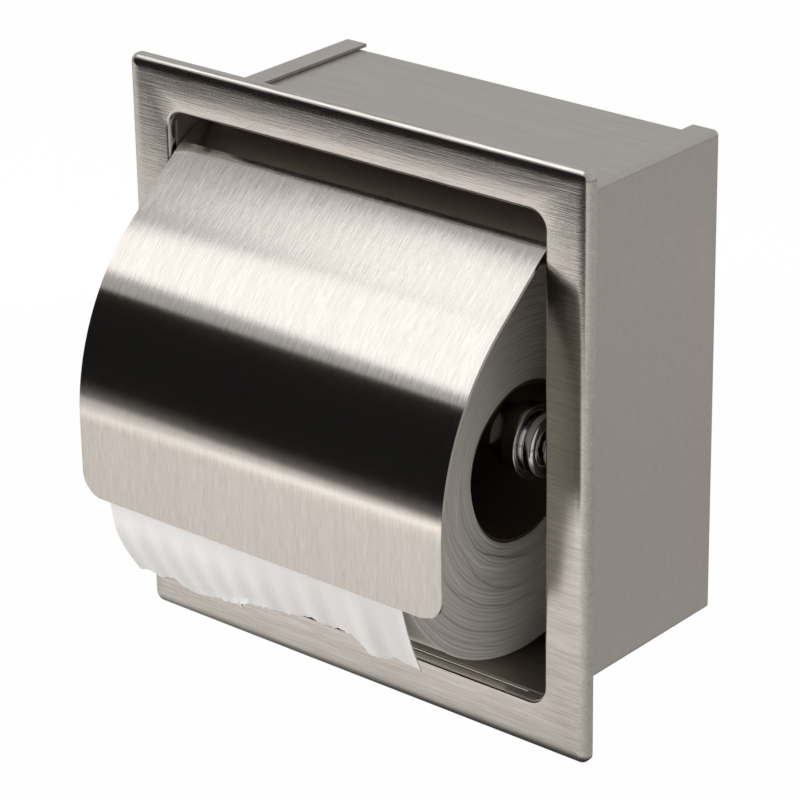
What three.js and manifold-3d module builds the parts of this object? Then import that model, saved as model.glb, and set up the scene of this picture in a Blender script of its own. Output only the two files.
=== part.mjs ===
// Recessed toilet paper holder: a pressed front frame on a folded steel box, a curved hood on a
// hinge rod, and a sprung two-part roller that carries the paper.
// Millimetres. X right as seen from the front, +Y into the wall, +Z up.
// The origin is the middle of the frame's back, on the face of the finished wall.
import * as THREE from 'three';
import { mergeVertices } from 'three/addons/utils/BufferGeometryUtils.js';
import ManifoldModule from 'manifold-3d';

const wasm = await ManifoldModule();
wasm.setup();

// ---- driving dimensions -------------------------------------------------------------------
const SEAM = 0.1;                 // between two pieces that are fixed face to face
const GAP = 0.3;                  // between pieces that only rest on each other
const RUNNING = 0.1;              // all round a shaft that turns or slides in a bore
const SHEET = 1.0;                // gauge of the frame and of the box

// The paper the holder is made for, and the room round it.
const PAPER_W = 102.5;
const PAPER_D = 111.2;
const PAPER_SHIFT = -4.25;        // the roll sits a little to the left of the middle
const CORE_BORE = 43.6;
const CORE_WALL = 1;
const SIDE_ROOM = 14;             // mean room between the roll and a side panel
const FLOOR_ROOM = 3.8;
const BACK_ROOM = 0.6;
const HOOD_ROOM = 0.85;           // between the roll and the hood's front
const SLOPE_ROOM = 7.3;           // between the roll and the hood's outer slope

const TAIL_T = 0.35;
const TAIL_GAP = 0.25;
const TAIL_START = 118;           // degrees round the roll, from straight back over the top
const TAIL_LEAVES = 192;          // where the loose end lets go of the roll
const TAIL_HANG = 44.65;          // how far the torn edge is below the roll's axis
const TAIL_SWING = 9.4;           // how far the loose end swings back towards the wall
const TAIL_BELLY = 0.45;          // fullness of its lower curve
const PAPER_EDGE_R = 0.6;

const BOX_W = PAPER_W + 2 * (SIDE_ROOM + SHEET);
const BOX_MID = 0.4;              // the box sits this much above the frame's middle
const FOLD_W = 8.4;               // folds of the side panels over the top and under the floor
const FOLD_R = 1.6;
const BACK_SETBACK = 1.5;         // the back panel sits inside the side panels' rear edges
const WALL_SCREW_HOLE_D = 5;
const WALL_SCREW_SPACING = 76;

const FRAME_SIDE = 14.4;          // width of the frame's face at the sides
const FRAME_TOP = 14.25;          // and at the top and bottom
const FRAME_DEPTH = 3.2;          // how far the face stands off the wall
const FRAME_CORNER_R = 3;
const FRAME_INNER_CORNER_R = 0.4; // least corner radius of the rim's inside
const FRAME_EDGE_R = 2;           // outer bend of the rim
const OPENING_CORNER_R = 5;
const OPENING_EDGE_R = 2.2;       // outer bend of the turned-in lip
const LIP_END = -0.1;             // the lip stops just short of the wall's face
const LIP_SIDE = 0.65;            // how far the lip stands in front of a side panel's face
const LIP_TOP = 1.25;             // and of the outside of a fold

const HOOD_GAUGE = 1.0;
const HOOD_SIDE_GAP = 1.1;        // between the hood and the opening
const HOOD_SKIRT = 20.35;         // how far it reaches below the roll's axis
const HOOD_BEND_OVER = 12.4;      // the bend's radius is this much more than the roll's
const HOOD_SLOPE = 39;            // degrees, the straight upper part
const CREASE_Y = 0.9;             // the crease at the mouth of the recess
const CREASE_BELOW_TOP = 11.1;
const LEG_SLOPE = 27;             // degrees, the leg behind the crease
const LEG_LENGTH = 12.5;
const HOOD_CORNER_R = 7;

const ROD_D = 4;
const KNUCKLE_TURN = 280;         // degrees that the leg's end is rolled round the rod
const KNUCKLE_SETBACK = 6.5;      // the knuckle is this much shorter than the hood at each end
const BUSH_D = 7.2;
const ROD_OVERHANG = 2;           // past the box's side panels
const ROD_CHAMFER = 0.4;
const CLIP_D = 8;
const CLIP_T = 0.8;
const CLIP_GROOVE = 0.35;         // depth of the clip's groove in the rod

const ROLLER_Y = 13.3;
const POST_LENGTH = 8.3;
const POST_D = 14.6;
const POST_ROUND = 3;
const POST_SOCKET_DEPTH = 4.6;
const PIN_D = 6;
const PIN_CHAMFER = 0.5;
const BEAD_D = 17.9;
const BEAD_LENGTH = 4.6;
const BEAD_GAP = 0.7;             // between the bead and the post
const BEAD_OUTER_R = 1.8;
const BEAD_INNER_R = 1;
const KNOB_D = 20.8;
const KNOB_LENGTH = 4.5;
const KNOB_GROOVE = 0.7;
const GROOVE_DEPTH = 1.4;         // of the groove between bead and knob, below the bead
const KNOB_CHAMFER = 0.4;
const KNOB_TAPER = 5.6;
const SHAFT_D = 16.2;
const SHAFT_TAIL = 1.5;           // shaft beyond the retainer
const BARREL_D = 28.8;
const BARREL_WALL = 1.2;
const BARREL_LEFT_SETBACK = 2.75;    // from the left knob's taper
const BARREL_RIGHT_SETBACK = 20.75;  // from the right knob's taper
const PLUG_LENGTH = 8;
const PLUG_RIM = 0.6;             // of the left knob, over the barrel's end
const PLUG_SLOPE = 0.4;           // rise of the rim's outer face
const PLUG_CLEARANCE = 0.15;
const BUSH_FLANGE = 1;
const BUSH_LENGTH = 8;
const RETAINER_T = 1.2;
const RETAINER_GROOVE = 1.2;      // depth of its groove in the shaft
const RETAINER_GAP = 0.6;         // between the retainer and the barrel's bore
const SPRING_WIRE = 1.3;
const SPRING_ROOM = 1.1;          // between the spring and the shaft's tail
const SPRING_TURNS = 7;

const SCREW_D = 3;
const SCREW_HOLE_D = 3.4;
const SCREW_HEAD_D = 5.2;
const SCREW_HEAD_T = 1.5;
const SCREW_HEX = 2;              // across the flats
const SCREW_HEX_FLOOR = 0.4;      // metal left under the hexagon
const SCREW_REACH = 3.2;          // how far it goes into the post

// ---- positions worked out from them ---------------------------------------------------------
const hoodFall = THREE.MathUtils.degToRad(HOOD_SLOPE);
const paperR = PAPER_D / 2;
// From the roll's axis up to the crease, so that the slope clears the roll.
const creaseOverRoll = (paperR + SLOPE_ROOM - (ROLLER_Y - CREASE_Y) * Math.sin(hoodFall))
  / Math.cos(hoodFall);
const floorUnderRoll = paperR + FLOOR_ROOM + 2 * SHEET + SEAM;
const boxH = floorUnderRoll + creaseOverRoll + CREASE_BELOW_TOP;
const boxTop = BOX_MID + boxH / 2;
const boxBottom = BOX_MID - boxH / 2;
const boxDepth = ROLLER_Y + paperR + BACK_ROOM + SHEET + BACK_SETBACK;
const boxFront = LIP_END + GAP;
const paperZ = boxBottom + floorUnderRoll;
const rollerZ = paperZ + CORE_BORE / 2 - GAP - BARREL_D / 2;   // the core hangs on the barrel
const creaseZ = paperZ + creaseOverRoll;
const openingW = BOX_W - 2 * LIP_SIDE;
const openingH = boxH - 2 * LIP_TOP;
const frameW = openingW + 2 * FRAME_SIDE;
const frameH = openingH + 2 * FRAME_TOP;
const hoodW = openingW - 2 * HOOD_SIDE_GAP;
const hoodFront = paperR - ROLLER_Y + HOOD_ROOM + HOOD_GAUGE;
const hoodBottom = paperZ - HOOD_SKIRT;
const hoodBendR = paperR + HOOD_BEND_OVER;
const knuckleHalf = hoodW / 2 - KNUCKLE_SETBACK;

// ---- shape helpers ------------------------------------------------------------------------
const rad = THREE.MathUtils.degToRad;
const v2 = (x, y) => new THREE.Vector2(x, y);

// One welded body with its faces pointing out.
function weld(geometry) {
  const g = geometry.index ? geometry.toNonIndexed() : geometry.clone();
  g.deleteAttribute('normal');
  g.deleteAttribute('uv');
  const merged = mergeVertices(g, 1e-4);
  const p = merged.attributes.position;
  const index = merged.index.array;
  const kept = [];
  let volume = 0;
  const [a, b, c] = [new THREE.Vector3(), new THREE.Vector3(), new THREE.Vector3()];
  for (let i = 0; i < index.length; i += 3) {
    const [ia, ib, ic] = index.slice(i, i + 3);
    if (ia === ib || ib === ic || ia === ic) continue;
    kept.push(ia, ib, ic);
    volume += a.fromBufferAttribute(p, ia).dot(b.fromBufferAttribute(p, ib)
      .cross(c.fromBufferAttribute(p, ic)));
  }
  if (volume < 0) {
    for (let i = 0; i < kept.length; i += 3) [kept[i], kept[i + 1]] = [kept[i + 1], kept[i]];
  }
  merged.setIndex(kept);
  return merged;
}

function toSolid(geometry) {
  const g = weld(geometry);
  return new wasm.Manifold(new wasm.Mesh({
    numProp: 3,
    vertProperties: new Float32Array(g.attributes.position.array),
    triVerts: new Uint32Array(g.index.array),
  }));
}

function fromSolid(solid) {
  const mesh = solid.getMesh();
  const g = new THREE.BufferGeometry();
  g.setAttribute('position', new THREE.BufferAttribute(mesh.vertProperties, 3));
  g.setIndex(new THREE.BufferAttribute(mesh.triVerts, 1));
  return g;
}

function cut(geometry, ...tools) {
  return fromSolid(tools.reduce((solid, tool) => solid.subtract(toSolid(tool)), toSolid(geometry)));
}

function common(geometry, other) {
  return fromSolid(toSolid(geometry).intersect(toSolid(other)));
}

// A shape drawn in (y, z), running from x0 to x1.
function alongX(shape, x0, x1) {
  const turn = new THREE.Matrix4().makeBasis(
    new THREE.Vector3(0, 1, 0), new THREE.Vector3(0, 0, 1), new THREE.Vector3(1, 0, 0));
  return new THREE.ExtrudeGeometry(shape, { depth: x1 - x0, bevelEnabled: false, curveSegments: 6 })
    .applyMatrix4(turn).translate(x0, 0, 0);
}

// A shape drawn in (x, z), running from y0 to y1.
function alongY(shape, y0, y1) {
  return new THREE.ExtrudeGeometry(shape, { depth: y1 - y0, bevelEnabled: false, curveSegments: 6 })
    .rotateX(Math.PI / 2).translate(0, y1, 0);
}

// A profile of [radius, x] points turned about a line parallel to X.
function turned(profile, segments = 32) {
  return new THREE.LatheGeometry(profile.map(([r, x]) => v2(r, x)), segments)
    .rotateZ(-Math.PI / 2);
}

// A hole cutter along X, from x0 to x1 at (y, z).
function drillX(d, y, z, x0, x1) {
  return turned([[0, x0], [d / 2, x0], [d / 2, x1], [0, x1]], 24).translate(0, y, z);
}

// The bent line through the corners, each rounded to radius r, as points.
function bentLine(corners, r, steps = 4) {
  const points = [corners[0]];
  for (let i = 1; i < corners.length - 1; i += 1) {
    const into = corners[i - 1].clone().sub(corners[i]).normalize();
    const out = corners[i + 1].clone().sub(corners[i]).normalize();
    const reach = r / Math.tan(Math.acos(into.dot(out)) / 2);
    const start = corners[i].clone().addScaledVector(into, reach);
    const end = corners[i].clone().addScaledVector(out, reach);
    const centre = corners[i].clone().addScaledVector(into.clone().add(out).normalize(),
      Math.hypot(reach, r));
    const a0 = start.clone().sub(centre).angle();
    const turn = THREE.MathUtils.euclideanModulo(
      end.clone().sub(centre).angle() - a0 + Math.PI, 2 * Math.PI) - Math.PI;
    for (let k = 0; k <= steps; k += 1) {
      const a = a0 + turn * k / steps;
      points.push(v2(centre.x + r * Math.cos(a), centre.y + r * Math.sin(a)));
    }
  }
  points.push(corners[corners.length - 1]);
  return points;
}

// The outline of a sheet whose one face follows the points, its thickness to their right.
function sheetShape(points, thickness) {
  const other = points.map((p, i) => {
    const before = points[Math.max(i - 1, 0)];
    const after = points[Math.min(i + 1, points.length - 1)];
    const d1 = p.clone().sub(before);
    const d2 = after.clone().sub(p);
    if (d1.lengthSq() === 0) d1.copy(d2);
    if (d2.lengthSq() === 0) d2.copy(d1);
    d1.normalize();
    d2.normalize();
    const mid = d1.clone().add(d2).normalize();
    return v2(p.x + mid.y * thickness / mid.dot(d1), p.y - mid.x * thickness / mid.dot(d1));
  });
  return new THREE.Shape([...points, ...other.reverse()]);
}

// Closed loops of the same number of points, each joined to the next and the last to the first.
function ringOfLoops(loops) {
  const n = loops[0].length;
  const index = [];
  for (let s = 0; s < loops.length; s += 1) {
    const t = (s + 1) % loops.length;
    for (let i = 0; i < n; i += 1) {
      const j = (i + 1) % n;
      index.push(s * n + i, t * n + i, t * n + j, s * n + i, t * n + j, s * n + j);
    }
  }
  const g = new THREE.BufferGeometry();
  g.setAttribute('position', new THREE.Float32BufferAttribute(loops.flat(2), 3));
  g.setIndex(index);
  return g;
}

function roundedLoop(halfW, halfH, r, y, steps = 6) {
  const loop = [];
  for (let corner = 0; corner < 4; corner += 1) {
    const cx = (corner === 0 || corner === 3 ? 1 : -1) * (halfW - r);
    const cz = (corner < 2 ? 1 : -1) * (halfH - r);
    for (let k = 0; k <= steps; k += 1) {
      const a = (corner + k / steps) * Math.PI / 2;
      loop.push([cx + r * Math.cos(a), y, cz + r * Math.sin(a)]);
    }
  }
  return loop;
}

// ---- finishes -----------------------------------------------------------------------------
function finish(color, roughness, metalness) {
  return new THREE.MeshStandardMaterial({ color, roughness, metalness });
}
const brushed = finish(0xb4aea6, 0.42, 1);
const polished = finish(0xc8c8c8, 0.16, 1);
const springSteel = finish(0x8d8f92, 0.35, 1);
const nylon = finish(0xe6e3da, 0.6, 0);
const cardboard = finish(0x9c8468, 0.9, 0);
const tissue = finish(0xf1efeb, 0.95, 0);

// ---- the assembly -------------------------------------------------------------------------
const holder = new THREE.Group();

function add(name, geometry, material) {
  const mesh = new THREE.Mesh(weld(geometry), material);
  mesh.name = name;
  holder.add(mesh);
  return mesh;
}

// ---- pressed front frame ------------------------------------------------------------------
// The section runs up the rim, over the face, down the lip, and back along the inside.
function frameLoops() {
  const face = -FRAME_DEPTH;
  const loops = [];
  const outer = (inset, y) => loops.push(roundedLoop(frameW / 2 - inset, frameH / 2 - inset,
    Math.max(FRAME_CORNER_R - inset, FRAME_INNER_CORNER_R), y));
  const inner = (spread, y) => loops.push(roundedLoop(openingW / 2 + spread,
    openingH / 2 + spread, OPENING_CORNER_R + spread, y));
  const bend = (put, r, shift, from, to, steps = 4) => {
    for (let k = 0; k <= steps; k += 1) {
      const a = rad(from + (to - from) * k / steps);
      put(shift - r * Math.cos(a), face + FRAME_EDGE_R - r * Math.sin(a));
    }
  };
  outer(0, 0);
  bend(outer, FRAME_EDGE_R, FRAME_EDGE_R, 0, 90);
  const lipBend = (r, from, to, steps = 4) => {
    for (let k = 0; k <= steps; k += 1) {
      const a = rad(from + (to - from) * k / steps);
      inner(OPENING_EDGE_R - r * Math.cos(a), face + OPENING_EDGE_R - r * Math.sin(a));
    }
  };
  lipBend(OPENING_EDGE_R, 90, 0);
  inner(0, LIP_END);
  inner(SHEET, LIP_END);
  lipBend(OPENING_EDGE_R - SHEET, 0, 90);
  bend(outer, FRAME_EDGE_R - SHEET, FRAME_EDGE_R, 90, 0);
  outer(SHEET, 0);
  return loops;
}
add('front_frame', ringOfLoops(frameLoops()), brushed);

// ---- the box: top, back and floor in one bent sheet, and a folded panel at each side ---------
const sideIn = BOX_W / 2 - SHEET;
const shellTop = boxTop - SHEET - SEAM;
const shellBottom = boxBottom + SHEET + SEAM;
const backOut = boxDepth - BACK_SETBACK;

function housingShell() {
  const outside = bentLine([v2(boxFront, shellTop), v2(backOut, shellTop),
    v2(backOut, shellBottom), v2(boxFront, shellBottom)], FOLD_R);
  const half = sideIn - (FOLD_R - SHEET);   // clear of the inside of the side panels' folds
  const shell = alongX(sheetShape(outside, SHEET), -half, half);
  const holes = [-1, 1].map((side) => new THREE.CylinderGeometry(
    WALL_SCREW_HOLE_D / 2, WALL_SCREW_HOLE_D / 2, 4 * SHEET, 24)
    .translate(side * WALL_SCREW_SPACING / 2, backOut - SHEET / 2, BOX_MID));
  return cut(shell, ...holes);
}
add('housing_shell', housingShell(), brushed);

// Centre of the hinge rod, under the leg's end.
const legDir = v2(Math.cos(rad(LEG_SLOPE)), Math.sin(rad(LEG_SLOPE)));
const knuckleR = ROD_D / 2 + RUNNING + HOOD_GAUGE;
const legEnd = v2(CREASE_Y, creaseZ).addScaledVector(legDir, LEG_LENGTH);
const rodAt = v2(legEnd.x + legDir.y * knuckleR, legEnd.y - legDir.x * knuckleR);

const rodHoleD = ROD_D + 2 * RUNNING;

function sidePanel(side) {
  const edge = BOX_W / 2 - FOLD_W;
  const outside = bentLine([v2(edge, boxTop), v2(BOX_W / 2, boxTop),
    v2(BOX_W / 2, boxBottom), v2(edge, boxBottom)], FOLD_R);
  const panel = alongY(sheetShape(outside, SHEET), boxFront, boxDepth);
  const holes = [
    drillX(SCREW_HOLE_D, ROLLER_Y, rollerZ, sideIn - SHEET, sideIn + 2 * SHEET),
    drillX(rodHoleD, rodAt.x, rodAt.y, sideIn - SHEET, sideIn + 2 * SHEET),
  ];
  const solid = cut(panel, ...holes);
  return side > 0 ? solid : solid.scale(-1, 1, 1);
}
add('left_side_panel', sidePanel(-1), brushed);
add('right_side_panel', sidePanel(1), brushed);

// ---- hood and its hinge ----------------------------------------------------------------------
// Outer face from the bottom edge up: a straight front, one long bend, a straight slope to the
// crease, the leg, and the knuckle rolled round the rod.
function hoodLine() {
  const bendAt = v2(hoodBendR - hoodFront, 0);
  const slope = v2(Math.cos(hoodFall), Math.sin(hoodFall));
  const rise = (CREASE_Y - bendAt.x + hoodBendR * slope.y) / slope.x * slope.y;
  bendAt.y = creaseZ - rise - hoodBendR * slope.x;
  const points = [v2(-hoodFront, hoodBottom)];
  const bendSteps = 18;
  for (let k = 0; k <= bendSteps; k += 1) {
    const a = rad(90 - (90 - HOOD_SLOPE) * k / bendSteps);
    points.push(v2(bendAt.x - hoodBendR * Math.sin(a), bendAt.y + hoodBendR * Math.cos(a)));
  }
  points.push(v2(CREASE_Y, creaseZ));
  const knuckleSteps = 20;
  for (let k = 0; k <= knuckleSteps; k += 1) {
    const a = rad(90 + LEG_SLOPE - KNUCKLE_TURN * k / knuckleSteps);
    points.push(v2(rodAt.x + knuckleR * Math.cos(a), rodAt.y + knuckleR * Math.sin(a)));
  }
  return points;
}

function hood() {
  const wide = hoodW / 2 + 1;
  const sheet = alongX(sheetShape(hoodLine(), HOOD_GAUGE), -wide, wide);
  const front = new THREE.Shape();
  const [half, low, r] = [hoodW / 2, hoodBottom + HOOD_CORNER_R, HOOD_CORNER_R];
  front.moveTo(-half, boxTop);
  front.lineTo(-half, low);
  front.absarc(r - half, low, r, Math.PI, 1.5 * Math.PI);
  front.absarc(half - r, low, r, 1.5 * Math.PI, 2 * Math.PI);
  front.lineTo(half, boxTop);
  const trimmed = common(sheet, alongY(front, -2 * hoodFront, boxDepth));
  // The corners behind are cut away beside the knuckle, clear of the bushes.
  const size = 2 * LEG_LENGTH;
  const notch = (x0, x1) => new THREE.BoxGeometry(x1 - x0, size, size)
    .translate((x0 + x1) / 2, rodAt.x - BUSH_D / 2 - GAP + size / 2, rodAt.y);
  return cut(trimmed, notch(knuckleHalf, wide + 1), notch(-wide - 1, -knuckleHalf));
}
add('hood', hood(), brushed);

const rodEnd = BOX_W / 2 + ROD_OVERHANG;
const clipIn = BOX_W / 2 + GAP;
function hingeRod() {
  const half = [
    [ROD_D / 2, clipIn - SEAM], [ROD_D / 2 - CLIP_GROOVE, clipIn - SEAM],
    [ROD_D / 2 - CLIP_GROOVE, clipIn + CLIP_T + SEAM], [ROD_D / 2, clipIn + CLIP_T + SEAM],
    [ROD_D / 2, rodEnd - ROD_CHAMFER], [ROD_D / 2 - ROD_CHAMFER, rodEnd], [0, rodEnd],
  ];
  const other = half.map(([r, x]) => [r, -x]).reverse();
  return turned([...other, ...half], 24);
}
add('hinge_rod', hingeRod(), polished).position.set(0, rodAt.x, rodAt.y);

// A flat ring round X from x0 to x1.
function ring(bore, outside, x0, x1, segments = 32) {
  return turned([[bore / 2, x0], [outside / 2, x0], [outside / 2, x1], [bore / 2, x1],
    [bore / 2, x0]], segments);
}

for (const [word, side] of [['left', -1], ['right', 1]]) {
  const bush = ring(rodHoleD, BUSH_D, knuckleHalf + GAP, sideIn - GAP, 24);
  add(`hinge_bush_${word}`, bush.scale(side, 1, 1), nylon).position.set(0, rodAt.x, rodAt.y);
  const clip = ring(ROD_D - 2 * CLIP_GROOVE + 2 * SEAM, CLIP_D, clipIn, clipIn + CLIP_T, 24);
  add(`rod_clip_${word}`, clip.scale(side, 1, 1), springSteel).position.set(0, rodAt.x, rodAt.y);
}

// ---- posts that carry the roller ---------------------------------------------------------------
const postWall = sideIn - SEAM;
const postFace = postWall - POST_LENGTH;
const socketR = PIN_D / 2 + RUNNING;

function post() {
  const r = POST_D / 2;
  const [threadR, threadEnd] = [SCREW_D / 2 + SEAM, postWall - SCREW_REACH - GAP];
  const profile = [[0, threadEnd], [threadR, threadEnd], [threadR, postWall], [r, postWall]];
  for (let k = 0; k <= 5; k += 1) {
    const a = rad(90 * k / 5);
    profile.push([r - POST_ROUND + POST_ROUND * Math.cos(a),
      postFace + POST_ROUND - POST_ROUND * Math.sin(a)]);
  }
  profile.push([socketR, postFace], [socketR, postFace + POST_SOCKET_DEPTH],
    [0, postFace + POST_SOCKET_DEPTH]);
  return turned(profile, 32);
}

function postScrew() {
  const seat = BOX_W / 2 + SEAM;
  const tip = postWall - SCREW_REACH;
  const body = turned([[0, tip], [SCREW_D / 2, tip], [SCREW_D / 2, seat], [SCREW_HEAD_D / 2, seat],
    [SCREW_HEAD_D / 2, seat + SCREW_HEAD_T * 0.6], [SCREW_HEAD_D * 0.4, seat + SCREW_HEAD_T],
    [0, seat + SCREW_HEAD_T]], 24);
  const hexR = SCREW_HEX / Math.sqrt(3);
  const hex = turned([[0, seat + SCREW_HEX_FLOOR], [hexR, seat + SCREW_HEX_FLOOR],
    [hexR, seat + 2 * SCREW_HEAD_T], [0, seat + 2 * SCREW_HEAD_T]], 6);
  return cut(body, hex);
}

for (const [word, side] of [['left', -1], ['right', 1]]) {
  add(`${word}_post`, post().scale(side, 1, 1), polished).position.set(0, ROLLER_Y, rollerZ);
  add(`${word}_post_screw`, postScrew().scale(side, 1, 1), springSteel)
    .position.set(0, ROLLER_Y, rollerZ);
}

// ---- sprung roller -----------------------------------------------------------------------------
// Each end has a pin, a round bead, a knob and a taper; x grows towards the right-hand post.
const pinTip = postFace + POST_SOCKET_DEPTH - GAP;
const beadOut = postFace - BEAD_GAP;
const beadIn = beadOut - BEAD_LENGTH;
const knobOut = beadIn - KNOB_GROOVE;
const knobIn = knobOut - KNOB_LENGTH;
const taperIn = knobIn - KNOB_TAPER;
const barrelLeft = BARREL_LEFT_SETBACK - taperIn;
const barrelRight = taperIn - BARREL_RIGHT_SETBACK;
const barrelBore = BARREL_D - 2 * BARREL_WALL;

function rollerEnd() {
  const profile = [[0, pinTip], [PIN_D / 2 - PIN_CHAMFER, pinTip],
    [PIN_D / 2, pinTip - PIN_CHAMFER], [PIN_D / 2, beadOut]];
  const r = BEAD_D / 2;
  for (let k = 0; k <= 4; k += 1) {
    const a = rad(90 * k / 4);
    profile.push([r - BEAD_OUTER_R * (1 - Math.sin(a)), beadOut - BEAD_OUTER_R * (1 - Math.cos(a))]);
  }
  for (let k = 0; k <= 3; k += 1) {
    const a = rad(90 * k / 3);
    profile.push([r - BEAD_INNER_R * (1 - Math.cos(a)), beadIn + BEAD_INNER_R * (1 - Math.sin(a))]);
  }
  profile.push([r - GROOVE_DEPTH, beadIn], [r - GROOVE_DEPTH, knobOut],
    [KNOB_D / 2 - KNOB_CHAMFER, knobOut], [KNOB_D / 2, knobOut - KNOB_CHAMFER],
    [KNOB_D / 2, knobIn], [SHAFT_D / 2, taperIn]);
  return profile;
}

function plunger() {
  const [r, neckR] = [SHAFT_D / 2, SHAFT_D / 2 - RETAINER_GROOVE];
  const [out, back] = [retainerX + RETAINER_T + SEAM, retainerX - SEAM];
  return turned([...rollerEnd(), [r, out], [neckR, out], [neckR, back], [r, back],
    [r, retainerX - SHAFT_TAIL], [0, retainerX - SHAFT_TAIL]], 32);
}

function leftKnob() {
  const plugR = barrelBore / 2 - PLUG_CLEARANCE;
  const plugOut = -barrelLeft;
  return turned([...rollerEnd(), [SHAFT_D / 2, plugOut + PLUG_RIM + PLUG_SLOPE],
    [BARREL_D / 2, plugOut + PLUG_RIM], [BARREL_D / 2, plugOut + SEAM], [plugR, plugOut + SEAM],
    [plugR, plugOut - PLUG_LENGTH], [0, plugOut - PLUG_LENGTH]], 32).scale(-1, 1, 1);
}

const bushInX = barrelRight - BUSH_LENGTH;
const retainerX = bushInX - GAP - RETAINER_T;
const springLeft = barrelLeft + PLUG_LENGTH + GAP;
const springRight = retainerX - GAP;
const coilR = SHAFT_D / 2 + SPRING_ROOM + SPRING_WIRE / 2;

// A coil of round wire whose ends stop clear of what they push on.
class Coil extends THREE.Curve {
  getPoint(t, target = new THREE.Vector3()) {
    const a = t * SPRING_TURNS * 2 * Math.PI;
    const x0 = springLeft + SPRING_WIRE / 2;
    const x1 = springRight - SPRING_WIRE / 2;
    return target.set(x0 + (x1 - x0) * t, coilR * Math.cos(a), coilR * Math.sin(a));
  }
}

function spring() {
  const wire = new THREE.Shape();
  wire.absarc(0, 0, SPRING_WIRE / 2, 0, 2 * Math.PI);
  return new THREE.ExtrudeGeometry(wire, { steps: SPRING_TURNS * 14, bevelEnabled: false,
    curveSegments: 3, extrudePath: new Coil() });
}

function barrelBush() {
  const r = barrelBore / 2 - PLUG_CLEARANCE;
  const bore = SHAFT_D / 2 + RUNNING;
  const flange = barrelRight + SEAM;
  return turned([[bore, bushInX], [r, bushInX], [r, flange], [BARREL_D / 2, flange],
    [BARREL_D / 2 - KNOB_CHAMFER, flange + BUSH_FLANGE], [bore, flange + BUSH_FLANGE],
    [bore, bushInX]], 32);
}

const retainerBore = SHAFT_D - 2 * RETAINER_GROOVE + 2 * SEAM;
const rollerPieces = [
  ['roller_barrel', ring(barrelBore, BARREL_D, barrelLeft, barrelRight, 40), polished],
  ['roller_left_knob', leftKnob(), polished],
  ['roller_bush', barrelBush(), nylon],
  ['roller_plunger', plunger(), polished],
  ['plunger_retainer', ring(retainerBore, barrelBore - 2 * RETAINER_GAP, retainerX,
    retainerX + RETAINER_T, 32), springSteel],
  ['roller_spring', spring(), springSteel],
];
for (const [name, geometry, material] of rollerPieces) {
  add(name, geometry, material).position.set(0, ROLLER_Y, rollerZ);
}

// ---- paper -------------------------------------------------------------------------------------
const paperLeft = PAPER_SHIFT - PAPER_W / 2;
const paperRight = PAPER_SHIFT + PAPER_W / 2;
const coreD = CORE_BORE + 2 * CORE_WALL;

add('paper_core', ring(CORE_BORE, coreD, paperLeft, paperRight, 64), cardboard)
  .position.set(0, ROLLER_Y, paperZ);

function paperRoll() {
  const [inR, r] = [coreD / 2 + SEAM, paperR - PAPER_EDGE_R];
  return turned([[inR, paperLeft], [r, paperLeft], [paperR, paperLeft + PAPER_EDGE_R],
    [paperR, paperRight - PAPER_EDGE_R], [r, paperRight], [inR, paperRight],
    [inR, paperLeft]], 64);
}
add('paper_roll', paperRoll(), tissue).position.set(0, ROLLER_Y, paperZ);

// The loose end: it lies on the roll behind the hood, then hangs free and swings back a little.
function paperTail() {
  const r = paperR + TAIL_GAP + TAIL_T;
  const points = [];
  const steps = 14;
  for (let k = 0; k <= steps; k += 1) {
    const a = rad(TAIL_START + (TAIL_LEAVES - TAIL_START) * k / steps);
    points.push(v2(ROLLER_Y + r * Math.cos(a), paperZ + r * Math.sin(a)));
  }
  const a = rad(TAIL_LEAVES);
  const from = points[points.length - 1];
  const to = v2(from.x + TAIL_SWING, paperZ - TAIL_HANG);
  const drop = (from.y - to.y) / 2;
  const hang = new THREE.CubicBezierCurve(from,
    v2(from.x - drop * Math.sin(a), from.y - drop * Math.abs(Math.cos(a))),
    v2(to.x - TAIL_BELLY * drop, to.y + drop), to);
  points.push(...hang.getPoints(10).slice(1));
  return alongX(sheetShape(points.reverse(), TAIL_T), paperLeft, paperRight);
}
add('paper_tail', paperTail(), tissue);

export default holder;
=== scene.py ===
import math

import bmesh
import bpy
import numpy as np
from bpy.props import FloatProperty, FloatVectorProperty, IntProperty, PointerProperty
from mathutils import Matrix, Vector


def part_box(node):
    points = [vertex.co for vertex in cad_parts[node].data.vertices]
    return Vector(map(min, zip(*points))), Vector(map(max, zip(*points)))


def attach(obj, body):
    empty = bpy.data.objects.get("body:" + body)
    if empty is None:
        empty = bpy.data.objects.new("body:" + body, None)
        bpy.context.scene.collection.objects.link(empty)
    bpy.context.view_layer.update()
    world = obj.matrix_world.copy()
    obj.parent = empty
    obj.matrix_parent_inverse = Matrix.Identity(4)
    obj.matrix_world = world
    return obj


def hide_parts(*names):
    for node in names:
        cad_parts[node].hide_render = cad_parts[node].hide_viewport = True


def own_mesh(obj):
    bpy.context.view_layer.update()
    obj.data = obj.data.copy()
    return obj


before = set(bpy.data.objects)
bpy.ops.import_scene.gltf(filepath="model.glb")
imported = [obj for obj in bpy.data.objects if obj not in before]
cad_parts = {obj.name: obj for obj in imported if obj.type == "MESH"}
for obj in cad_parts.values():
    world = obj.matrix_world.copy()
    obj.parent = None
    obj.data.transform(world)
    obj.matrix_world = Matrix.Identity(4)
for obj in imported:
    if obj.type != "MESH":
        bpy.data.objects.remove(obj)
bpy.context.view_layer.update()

bl_info = {
    "name": "Recessed paper holder",
    "version": (1, 0, 0),
    "blender": (4, 5, 0),
    "location": "3D View > Sidebar > Paper holder",
    "description": "Builds a recessed steel toilet paper holder with its hood, roller and paper",
    "category": "Add Mesh",
}

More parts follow.
